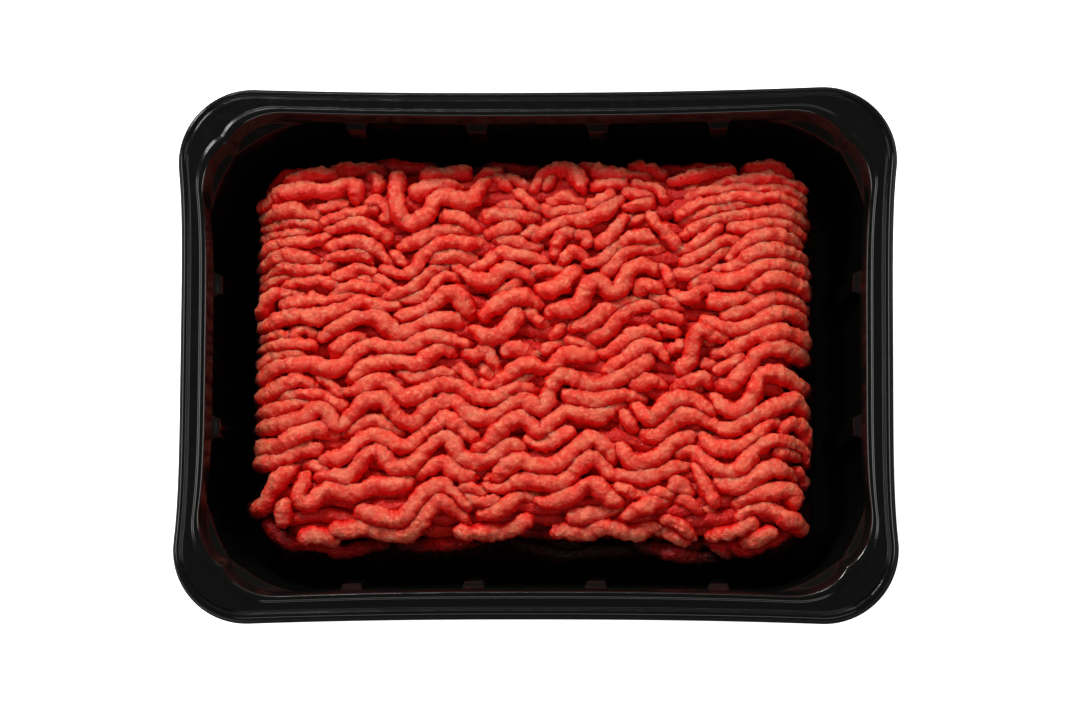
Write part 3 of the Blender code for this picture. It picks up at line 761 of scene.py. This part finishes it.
# The rows round the front and the back, and the layer below, seen only in the openings
lowest = HALF_WIDTH - SHOULDER + SHOULDER * math.pi / 2 + BLOCK_TOP - SHOULDER - BLOCK_FOOT
for side in (-1, 1):
    s0 = HALF_WIDTH - SHOULDER + SIDE_ROWS_FROM[side] * SHOULDER
    while s0 < lowest - ROW_PITCH:
        left, right = chance.uniform(10 * MM, 26 * MM, 2)
        points, outward = side_row(side * s0, 0.0, left, right)
        start = 0
        while start < len(points) - 8:
            stop = start + chance.integers(*SIDE_PIECE_NODES)
            part, facing = points[start:stop].copy(), outward[start:stop]
            from_end = np.minimum(np.arange(len(part)), np.arange(len(part))[::-1]) * NODE_STEP
            part -= facing * (TUCK * np.exp(-from_end / TUCK_LENGTH))[:, None]
            part[:, 2] += chance.uniform(-1, 1) * SIDE_PIECE_SHIFT
            lay(part, facing, "side", chance.uniform(0.85, 1.05))
            start = stop - 3
        s0 += ROW_PITCH
for row in range(-12, 13):
    points, outward = under_row((row + 0.5) * ROW_PITCH * 0.94, LOWER_DEPTH, 16 * MM)
    lay(points, outward, "below", 1.0)


def relax(rounds):
    """Push strands apart where they lie in each other, keeping each one's own line."""
    points = np.concatenate([strand["points"] for strand in strands])
    outward = np.concatenate([strand["outward"] for strand in strands])
    of_strand = np.concatenate([np.full(len(strand["points"]), i) for i, strand in enumerate(strands)])
    radius = STRAND_RADIUS * np.concatenate([strand["thick"] for strand in strands])
    held = np.concatenate([np.full(len(strand["points"]), 0.15 if strand["kind"] == "below" else 1.0)
                           for strand in strands])
    rest = points.copy()
    count = len(points)
    same_next = np.append(of_strand[1:] == of_strand[:-1], False)
    same_last = np.append(False, of_strand[1:] == of_strand[:-1])
    for step in range(rounds):
        if step % 5 == 0:
            finder = kdtree.KDTree(count)
            for index, point in enumerate(points):
                finder.insert(point, index)
            finder.balance()
            first, second = [], []
            for index, point in enumerate(points):
                for _, other, _ in finder.find_range(point, STRAND_RADIUS * 2.2):
                    if other > index and (of_strand[other] != of_strand[index] or other - index > 5):
                        first.append(index)
                        second.append(other)
            first, second = np.array(first), np.array(second)
        apart = points[first] - points[second]
        distance = np.maximum(np.linalg.norm(apart, axis=1), 1e-6)
        short = np.maximum(SQUASH * (radius[first] + radius[second]) - distance, 0)
        push = apart * (short / distance)[:, None]
        total = np.zeros_like(points)
        share = held[first] / (held[first] + held[second])
        for axis in range(3):
            total[:, axis] += np.bincount(first, push[:, axis] * share, count)
            total[:, axis] -= np.bincount(second, push[:, axis] * (1 - share), count)
        touching = np.bincount(first, short > 0, count) + np.bincount(second, short > 0, count)
        shift = points - rest + total / np.maximum(touching, 1)[:, None]
        after = np.where(same_next[:, None], np.roll(shift, -1, axis=0), shift)
        before = np.where(same_last[:, None], np.roll(shift, 1, axis=0), shift)
        shift = 0.97 * (0.4 * shift + 0.3 * after + 0.3 * before)
        sunk = np.sum(shift * outward, axis=1)
        allowed = np.clip(sunk, -DEEPEST_SHIFT, HIGHEST_SHIFT)
        points = rest + shift + outward * (allowed - sunk)[:, None]
    start = 0
    for strand in strands:
        end = start + len(strand["points"])
        line = points[start:end]
        for _ in range(EVENING_ROUNDS):
            line[1:-1] += 0.25 * (line[2:] + line[:-2] - 2 * line[1:-1])
        strand["points"] = line
        start = end


SQUASH = 0.82
EVENING_ROUNDS = 2
DEEPEST_SHIFT = 1.6 * MM
HIGHEST_SHIFT = 2.2 * MM
relax(30)


def strand_tree():
    """Geometry Nodes: a lumpy round strand along every line of nodes."""
    tree = bpy.data.node_groups.new("strands_from_lines", "GeometryNodeTree")
    face = tree.interface
    face.new_socket("Lines", in_out="INPUT", socket_type="NodeSocketGeometry")
    sockets = {}
    for name, kind in (("Sides", "Int"), ("Ring Spacing", "Float"), ("Lump Depth", "Float"),
                       ("Lumps per Metre", "Float"), ("Material", "Material")):
        sockets[name] = face.new_socket(name, in_out="INPUT", socket_type="NodeSocket" + kind).identifier
    face.new_socket("Strands", in_out="OUTPUT", socket_type="NodeSocketGeometry")
    nodes, link = tree.nodes, tree.links.new
    given = nodes.new("NodeGroupInput")
    result = nodes.new("NodeGroupOutput")

    curve = nodes.new("GeometryNodeMeshToCurve")
    link(given.outputs["Lines"], curve.inputs["Mesh"])
    resample = nodes.new("GeometryNodeResampleCurve")
    resample.mode = "LENGTH"
    link(curve.outputs[0], resample.inputs["Curve"])
    link(given.outputs["Ring Spacing"], resample.inputs["Length"])
    thickness = nodes.new("GeometryNodeInputNamedAttribute")
    thickness.data_type = "FLOAT"
    thickness.inputs["Name"].default_value = "thickness"
    profile = nodes.new("GeometryNodeCurvePrimitiveCircle")
    profile.inputs["Radius"].default_value = 1.0
    link(given.outputs["Sides"], profile.inputs["Resolution"])
    tube = nodes.new("GeometryNodeCurveToMesh")
    link(resample.outputs[0], tube.inputs["Curve"])
    link(thickness.outputs["Attribute"], tube.inputs["Scale"])
    link(profile.outputs[0], tube.inputs["Profile Curve"])
    tube.inputs["Fill Caps"].default_value = True

    noise = nodes.new("ShaderNodeTexNoise")
    noise.inputs["Detail"].default_value = 3.5
    noise.inputs["Roughness"].default_value = 0.6
    link(given.outputs["Lumps per Metre"], noise.inputs["Scale"])
    centred = nodes.new("ShaderNodeMath")
    centred.operation = "SUBTRACT"
    centred.inputs[1].default_value = 0.5
    link(noise.outputs[0], centred.inputs[0])
    depth = nodes.new("ShaderNodeMath")
    depth.operation = "MULTIPLY"
    link(centred.outputs[0], depth.inputs[0])
    link(given.outputs["Lump Depth"], depth.inputs[1])
    normal = nodes.new("GeometryNodeInputNormal")
    along = nodes.new("ShaderNodeVectorMath")
    along.operation = "SCALE"
    link(normal.outputs[0], along.inputs[0])
    link(depth.outputs[0], along.inputs["Scale"])
    lumps = nodes.new("GeometryNodeSetPosition")
    link(tube.outputs[0], lumps.inputs["Geometry"])
    link(along.outputs[0], lumps.inputs["Offset"])

    outward = nodes.new("GeometryNodeInputNamedAttribute")
    outward.data_type = "FLOAT_VECTOR"
    outward.inputs["Name"].default_value = "outward"
    facing = nodes.new("ShaderNodeVectorMath")
    facing.operation = "DOT_PRODUCT"
    link(normal.outputs[0], facing.inputs[0])
    link([out for out in outward.outputs if out.enabled][0], facing.inputs[1])
    # Crest: how far each point faces the stored outward direction, which is tilted toward the key light. The
    # flesh uses it as the mask of its painted highlight and painted shade.
    crest = nodes.new("GeometryNodeStoreNamedAttribute")
    crest.data_type = "FLOAT"
    crest.domain = "POINT"
    crest.inputs["Name"].default_value = "crest"
    link(lumps.outputs[0], crest.inputs["Geometry"])
    link(facing.outputs["Value"], crest.inputs["Value"])
    geometry = crest.outputs[0]
    for name in ("outward", "thickness"):
        forget = nodes.new("GeometryNodeRemoveAttribute")
        forget.inputs["Name"].default_value = name
        link(geometry, forget.inputs["Geometry"])
        geometry = forget.outputs[0]
    smooth = nodes.new("GeometryNodeSetShadeSmooth")
    link(geometry, smooth.inputs["Geometry"])
    realize = nodes.new("GeometryNodeRealizeInstances")
    link(smooth.outputs[0], realize.inputs[0])
    finish = nodes.new("GeometryNodeSetMaterial")
    link(realize.outputs[0], finish.inputs["Geometry"])
    link(given.outputs["Material"], finish.inputs["Material"])
    link(finish.outputs[0], result.inputs["Strands"])
    return tree, sockets


def taper(count):
    """Thickness along a strand, closing to a blunt round tip at each end."""
    from_end = np.minimum(np.arange(count), np.arange(count)[::-1]) * NODE_STEP
    inside = np.clip(1 - from_end / STRAND_RADIUS, 0, 1)
    return np.sqrt(np.maximum(1 - inside**2, 0.06))


# How far the crest is tilted toward the back, where the key light stands, so that the painted highlight and
# shade lie as that light would put them.
CREST_TILT_TO_LIGHT = 0.34


def add_strands(name, kind, sides, spacing, material):
    """One piece: every strand of one kind, as lines first and then as tubes."""
    verts, edges, thickness, tone, outward = [], [], [], [], []
    for strand in strands:
        if strand["kind"] != kind:
            continue
        first = len(verts)
        count = len(strand["points"])
        verts.extend(strand["points"].tolist())
        toward_light = strand["outward"] + (0.0, CREST_TILT_TO_LIGHT, 0.0)
        outward.extend((toward_light / np.linalg.norm(toward_light, axis=1)[:, None]).ravel().tolist())
        edges.extend((first + i, first + i + 1) for i in range(count - 1))
        along = np.arange(count) * NODE_STEP
        vary = 1 + waver(5 * MM, 16 * MM, 0.06)(along)
        thickness.extend(STRAND_RADIUS * strand["thick"] * vary * taper(count))
        tone.extend(chance.uniform(0, 1) + 0 * along)
    mesh = bpy.data.meshes.new(name + "_lines")
    mesh.from_pydata(verts, edges, [])
    mesh.attributes.new("thickness", "FLOAT", "POINT").data.foreach_set("value", thickness)
    mesh.attributes.new("tone", "FLOAT", "POINT").data.foreach_set("value", tone)
    mesh.attributes.new("outward", "FLOAT_VECTOR", "POINT").data.foreach_set("vector", outward)
    lines = bpy.data.objects.new(name + "_lines", mesh)
    bpy.context.scene.collection.objects.link(lines)
    modifier = lines.modifiers.new("strands", "NODES")
    modifier.node_group = STRAND_TREE
    modifier[STRAND_SOCKETS["Sides"]] = sides
    modifier[STRAND_SOCKETS["Ring Spacing"]] = spacing
    modifier[STRAND_SOCKETS["Lump Depth"]] = 3.3 * MM
    modifier[STRAND_SOCKETS["Lumps per Metre"]] = 400.0
    modifier[STRAND_SOCKETS["Material"]] = material
    graph = bpy.context.evaluated_depsgraph_get()
    made = bpy.data.meshes.new_from_object(lines.evaluated_get(graph), depsgraph=graph)
    lines.modifiers.remove(modifier)
    bpy.data.objects.remove(lines)
    made.name = name
    piece = bpy.data.objects.new(name, made)
    bpy.context.scene.collection.objects.link(piece)
    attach(piece, "root")
    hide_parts("mince")
    print(name, len(made.polygons), "faces", sum(len(p.vertices) - 2 for p in made.polygons), "triangles")
    return piece


STRAND_TREE, STRAND_SOCKETS = strand_tree()


# Lean, fat and dip colours of the flesh. The dip colour is painted shade: the deep red in each dip between
# strands and on the side of each strand turned away from the key light.
LEAN = (0.90, 0.010, 0.004)
FAT_AND_HIGHLIGHT = (0.98, 0.43, 0.235)
DIP_SHADE = (0.80, 0.0045, 0.002)
# A darker copy of these colours: painted shade for the side rows, the layer below and the core, which lie in
# shadow.
SHADED_LEAN = (0.66, 0.004, 0.002)
SHADED_FAT = (0.80, 0.04, 0.02)
DARKER_DIP_SHADE = (0.62, 0.002, 0.001)
SHADE = (0.02, 0.0005, 0.0005)
DARKEST_TONE = 0.84
SHADE_FROM = 8.5 * MM
SHADE_TO = 2.5 * MM
GRAINS_PER_METRE = 820.0
VEILS_PER_METRE = 250.0
MOIST_SPOTS_PER_METRE = 700.0
FIBRES_PER_METRE = 1000.0


def flesh_group():
    """Shader group: lean with soft flecks and veils of fat, kept only on crests facing the key light as a
    painted highlight, painted shade of deep red in each dip and on the side away from that light, and painted
    shade lower on the block.
    """
    tree = bpy.data.node_groups.new("raw_flesh", "ShaderNodeTree")
    for name in ("Lean", "Fat And Highlight", "Dip Shade"):
        tree.interface.new_socket(name, in_out="INPUT", socket_type="NodeSocketColor")
    tree.interface.new_socket("Fat From", in_out="INPUT", socket_type="NodeSocketFloat")
    tree.interface.new_socket("Base Color", in_out="OUTPUT", socket_type="NodeSocketColor")
    tree.interface.new_socket("Roughness", in_out="OUTPUT", socket_type="NodeSocketFloat")
    tree.interface.new_socket("Bump Height", in_out="OUTPUT", socket_type="NodeSocketFloat")
    nodes, link = tree.nodes, tree.links.new
    given = nodes.new("NodeGroupInput")
    result = nodes.new("NodeGroupOutput")
    place = nodes.new("ShaderNodeTexCoord")

    def noise(scale, detail):
        node = nodes.new("ShaderNodeTexNoise")
        node.inputs["Scale"].default_value = scale
        node.inputs["Detail"].default_value = detail
        link(place.outputs["Object"], node.inputs["Vector"])
        return node.outputs["Fac"]

    def spread(value, low, high, start=0.0, end=1.0):
        node = nodes.new("ShaderNodeMapRange")
        node.interpolation_type = "SMOOTHSTEP"
        for name, given_value in (("From Min", low), ("From Max", high), ("To Min", start), ("To Max", end)):
            if isinstance(given_value, float):
                node.inputs[name].default_value = given_value
            else:
                link(given_value, node.inputs[name])
        link(value, node.inputs["Value"])
        return node.outputs["Result"]

    def mix(factor, first, second, blend="MIX"):
        node = nodes.new("ShaderNodeMix")
        node.data_type = "RGBA"
        node.blend_type = blend
        if isinstance(factor, float):
            node.inputs["Factor"].default_value = factor
        else:
            link(factor, node.inputs["Factor"])
        for socket, value in (("A", first), ("B", second)):
            target = [item for item in node.inputs if item.name == socket and item.type == "RGBA"][0]
            if isinstance(value, tuple):
                target.default_value = (*value, 1)
            else:
                link(value, target)
        return [item for item in node.outputs if item.type == "RGBA"][0]

    def attribute(name):
        node = nodes.new("ShaderNodeAttribute")
        node.attribute_name = name
        return node.outputs["Fac"]

    dark_lean = mix(1.0, given.outputs["Lean"], (DARKEST_TONE,) * 3, "MULTIPLY")
    colour = mix(attribute("tone"), dark_lean, given.outputs["Lean"])
    # The fat flecks and veils are real fat, and also a painted highlight: the crest mask below keeps them only
    # where the strand faces the key light.
    colour = mix(spread(noise(VEILS_PER_METRE, 2.0), 0.30, 0.78, 0.13, 0.48), colour, given.outputs["Fat And Highlight"])
    fat_to = nodes.new("ShaderNodeMath")
    fat_to.operation = "ADD"
    fat_to.inputs[1].default_value = 0.34
    link(given.outputs["Fat From"], fat_to.inputs[0])
    grains = spread(noise(GRAINS_PER_METRE, 2.5), given.outputs["Fat From"], fat_to.outputs[0], 0.0, 0.5)
    colour = mix(grains, colour, given.outputs["Fat And Highlight"])
    # Painted shade: away from the crest the colour turns to the deep red of the dips, so that only the side
    # facing the key light keeps its lean and fat.
    colour = mix(spread(attribute("crest"), 0.38, 1.10), given.outputs["Dip Shade"], colour)
    height = nodes.new("ShaderNodeSeparateXYZ")
    link(place.outputs["Object"], height.inputs[0])
    colour = mix(spread(height.outputs["Z"], BLOCK_TOP - SHADE_FROM, BLOCK_TOP - SHADE_TO), SHADE, colour)
    link(colour, result.inputs["Base Color"])
    link(spread(noise(MOIST_SPOTS_PER_METRE, 2.0), 0.3, 0.7, 0.32, 0.52), result.inputs["Roughness"])
    link(noise(FIBRES_PER_METRE, 3.5), result.inputs["Bump Height"])
    return tree


def flesh_material(name, lean, fat_and_highlight, dip_shade, fat_from):
    """Moist raw beef, slightly see-through."""
    material = bpy.data.materials.new(name)
    material.use_nodes = True
    nodes, link = material.node_tree.nodes, material.node_tree.links.new
    shader = nodes["Principled BSDF"]
    flesh = nodes.new("ShaderNodeGroup")
    flesh.node_tree = FLESH_GROUP
    flesh.inputs["Lean"].default_value = (*lean, 1)
    flesh.inputs["Fat And Highlight"].default_value = (*fat_and_highlight, 1)
    flesh.inputs["Dip Shade"].default_value = (*dip_shade, 1)
    flesh.inputs["Fat From"].default_value = fat_from
    link(flesh.outputs["Base Color"], shader.inputs["Base Color"])
    link(flesh.outputs["Roughness"], shader.inputs["Roughness"])
    bump = nodes.new("ShaderNodeBump")
    bump.inputs["Strength"].default_value = 1.0
    bump.inputs["Distance"].default_value = 1.0 * MM
    link(flesh.outputs["Bump Height"], bump.inputs["Height"])
    link(bump.outputs[0], shader.inputs["Normal"])
    shader.inputs["Subsurface Weight"].default_value = 1.0
    shader.inputs["Subsurface Radius"].default_value = (1.0, 0.20, 0.12)
    shader.inputs["Subsurface Scale"].default_value = 1.3 * MM
    shader.inputs["Specular IOR Level"].default_value = 0.16
    return material


FLESH_GROUP = flesh_group()
flesh = flesh_material("raw_mince", LEAN, FAT_AND_HIGHLIGHT, DIP_SHADE, 0.42)
# A darker copy of the flesh: painted shade for the side rows and the layer below, which lie in shadow.
shaded_flesh = flesh_material("raw_mince_shaded", SHADED_LEAN, SHADED_FAT, DARKER_DIP_SHADE, 0.55)
add_strands("mince_back_rows", "back", 14, 0.45 * MM, flesh)
add_strands("mince_front_rows", "front", 14, 0.45 * MM, flesh)
add_strands("mince_side_rows", "side", 10, 0.7 * MM, shaded_flesh)
add_strands("mince_lower_rows", "below", 8, 1.0 * MM, shaded_flesh)

# ---------------------------------------------------------------------------
# Core of the mince: what fills the block under its strands.

CORE_DEPTH = 3.8 * MM
CORE_SIDES = 96
# Painted shade: the core shows only in the gaps between strands, and it is coloured the deep red of shade
# there.
CORE_GAP_SHADE = (0.30, 0.004, 0.003)
core_mesh = bpy.data.meshes.new("mince_core")
core_bm = bmesh.new()
core_rings = []
core_levels = []
core_top = BLOCK_TOP - CORE_DEPTH
for shrink, height in ((4.0 * MM, BLOCK_FOOT - 1.2 * MM), (0.0, BLOCK_FOOT + 2 * MM), (0.0, core_top - 5 * MM),
                       (1.2 * MM, core_top - 2 * MM), (4.0 * MM, core_top), (16 * MM, core_top + 0.6 * MM)):
    ring = []
    half_x = HALF_LENGTH - 2.6 * MM - shrink
    half_y = HALF_WIDTH - 2.6 * MM - shrink
    corner = max(PLAN_CORNER - 3 * MM - shrink, 2 * MM)
    for index in range(CORE_SIDES):
        turn = 2 * math.pi * (index + 0.5) / CORE_SIDES
        direction = Vector((math.cos(turn), math.sin(turn)))
        x = math.copysign(min(abs(direction.x) ** 0.35, 1.0), direction.x) * half_x
        y = math.copysign(min(abs(direction.y) ** 0.35, 1.0), direction.y) * half_y
        ring.append(core_bm.verts.new((BLOCK_X + x, BLOCK_Y + y, height)))
    core_rings.append(ring)
for lower, upper in zip(core_rings, core_rings[1:]):
    for index in range(CORE_SIDES):
        after = (index + 1) % CORE_SIDES
        core_bm.faces.new((lower[index], lower[after], upper[after], upper[index]))
core_bm.faces.new(list(reversed(core_rings[0])))
core_bm.faces.new(core_rings[-1])
core_bm.to_mesh(core_mesh)
core_bm.free()
core_mesh.shade_smooth()
core = bpy.data.objects.new("mince_core", core_mesh)
bpy.context.scene.collection.objects.link(core)
core_mesh.materials.append(flesh_material("mince_core_flesh", SHADED_LEAN, SHADED_FAT, CORE_GAP_SHADE, 0.6))
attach(core, "root")
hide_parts("mince")


# ---------------------------------------------------------------------------
# Floor, light and camera

FLOOR_SIZE = 6.0
FLOOR_HEIGHT = -0.2 * MM
half = FLOOR_SIZE / 2
corners = ((-half, -half), (half, -half), (half, half), (-half, half))
floor_mesh = bpy.data.meshes.new("studio_floor")
floor_mesh.from_pydata([(x, y, FLOOR_HEIGHT) for x, y in corners], [], [(0, 1, 2, 3)])
floor = bpy.data.objects.new("studio_floor", floor_mesh)
bpy.context.scene.collection.objects.link(floor)
# The floor is lit to a clean white where the camera sees it. To the light that bounces off it
# on to the tray it is grey, as the black card round a glossy product makes it.
pale = bpy.data.materials.new("pale_floor")
pale.use_nodes = True
nodes, link = pale.node_tree.nodes, pale.node_tree.links.new
matte = nodes["Principled BSDF"]
matte.inputs["Base Color"].default_value = (0.85, 0.85, 0.85, 1)
matte.inputs["Roughness"].default_value = 0.8
card = nodes.new("ShaderNodeBsdfDiffuse")
card.inputs["Color"].default_value = (0.10, 0.10, 0.10, 1)
glow = nodes.new("ShaderNodeEmission")
glow.inputs["Strength"].default_value = 1.0
seen = nodes.new("ShaderNodeAddShader")
link(matte.outputs[0], seen.inputs[0])
link(glow.outputs[0], seen.inputs[1])
ray = nodes.new("ShaderNodeLightPath")
choose = nodes.new("ShaderNodeMixShader")
link(ray.outputs["Is Camera Ray"], choose.inputs[0])
link(card.outputs[0], choose.inputs[1])
link(seen.outputs[0], choose.inputs[2])
link(choose.outputs[0], nodes["Material Output"].inputs["Surface"])
floor_mesh.materials.append(pale)
floor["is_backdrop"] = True

world = bpy.data.worlds.new("studio")
bpy.context.scene.world = world
world.use_nodes = True
nodes, link = world.node_tree.nodes, world.node_tree.links.new
background = nodes["Background"]
coordinate = nodes.new("ShaderNodeTexCoord")
split = nodes.new("ShaderNodeSeparateXYZ")
ramp = nodes.new("ShaderNodeValToRGB")
link(coordinate.outputs["Generated"], split.inputs[0])
link(split.outputs["Z"], ramp.inputs[0])
link(ramp.outputs[0], background.inputs["Color"])
bounce = nodes.new("ShaderNodeLightPath")
soft = nodes.new("ShaderNodeMapRange")
soft.inputs["To Min"].default_value = 1.0
soft.inputs["To Max"].default_value = 13.0
link(bounce.outputs["Is Diffuse Ray"], soft.inputs["Value"])
link(soft.outputs[0], background.inputs["Strength"])
ramp.color_ramp.elements[0].position = 0.0
ramp.color_ramp.elements[0].color = (0.07, 0.07, 0.07, 1)
ramp.color_ramp.elements[1].position = 0.85
ramp.color_ramp.elements[1].color = (0.03, 0.03, 0.03, 1)


def add_light(name, place, target, size, power, on_matte=True, in_gloss=True):
    data = bpy.data.lights.new(name, "AREA")
    data.shape = "RECTANGLE"
    data.size, data.size_y = size
    data.energy = power
    lamp = bpy.data.objects.new(name, data)
    lamp.location = place
    lamp.rotation_euler = (Vector(target) - Vector(place)).to_track_quat("-Z", "Y").to_euler()
    lamp.visible_diffuse = on_matte
    lamp.visible_glossy = in_gloss
    bpy.context.scene.collection.objects.link(lamp)


KEY_PLACE = (-0.38, 1.1, 1.05)
add_light("key", KEY_PLACE, (0, 0, 0.03), (0.5, 0.4), 17.2, in_gloss=False)
add_light("key_glint", KEY_PLACE, (0, 0, 0.03), (0.3, 0.25), 32.0, on_matte=False)
add_light("corner_glint", (-0.85, 0.8, 0.95), (0, 0, 0.03), (0.3, 0.22), 12.0, on_matte=False)
add_light("left_box", (-1.1, 0.15, 0.85), (0, 0, 0.04), (0.4, 0.9), 5.0, on_matte=False)
add_light("right_box", (1.1, 0.1, 0.85), (0, 0, 0.04), (0.4, 0.9), 5.5, on_matte=False)
add_light("front_box", (0.1, -1.0, 0.95), (0, 0, 0.04), (0.9, 0.45), 4.2, on_matte=False)
add_light("back_box", (0.1, 1.15, 0.85), (0, 0, 0.04), (0.9, 0.4), 1.8, on_matte=False)

# The camera stands almost over the tray, a little to its right and in front of it
LEAN_FORWARD = 0.135
LEAN_RIGHT = 0.055
DISTANCE = 1.35
FOCAL_LENGTH = 171.9
ROLL = 0.0051
ASIDE = 0.00141
DOWN = -0.00208
camera_data = bpy.data.cameras.new("camera")
camera = bpy.data.objects.new("camera", camera_data)
bpy.context.scene.collection.objects.link(camera)
back = Vector((LEAN_RIGHT, -LEAN_FORWARD, 1.0)).normalized()
level_right = Vector((0.0, 1.0, 0.0)).cross(back).normalized()
level_up = back.cross(level_right)
right = math.cos(ROLL) * level_right + math.sin(ROLL) * level_up
up = back.cross(right)
camera.location = Vector((0, 0, TRAY_HEIGHT)) + back * DISTANCE + right * ASIDE + up * DOWN
camera.rotation_euler = Matrix((right, up, back)).transposed().to_euler()
camera_data.sensor_width = 36.0
camera_data.lens = FOCAL_LENGTH
bpy.context.scene.camera = camera
bpy.context.scene.view_settings.view_transform = "Standard"

low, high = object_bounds()
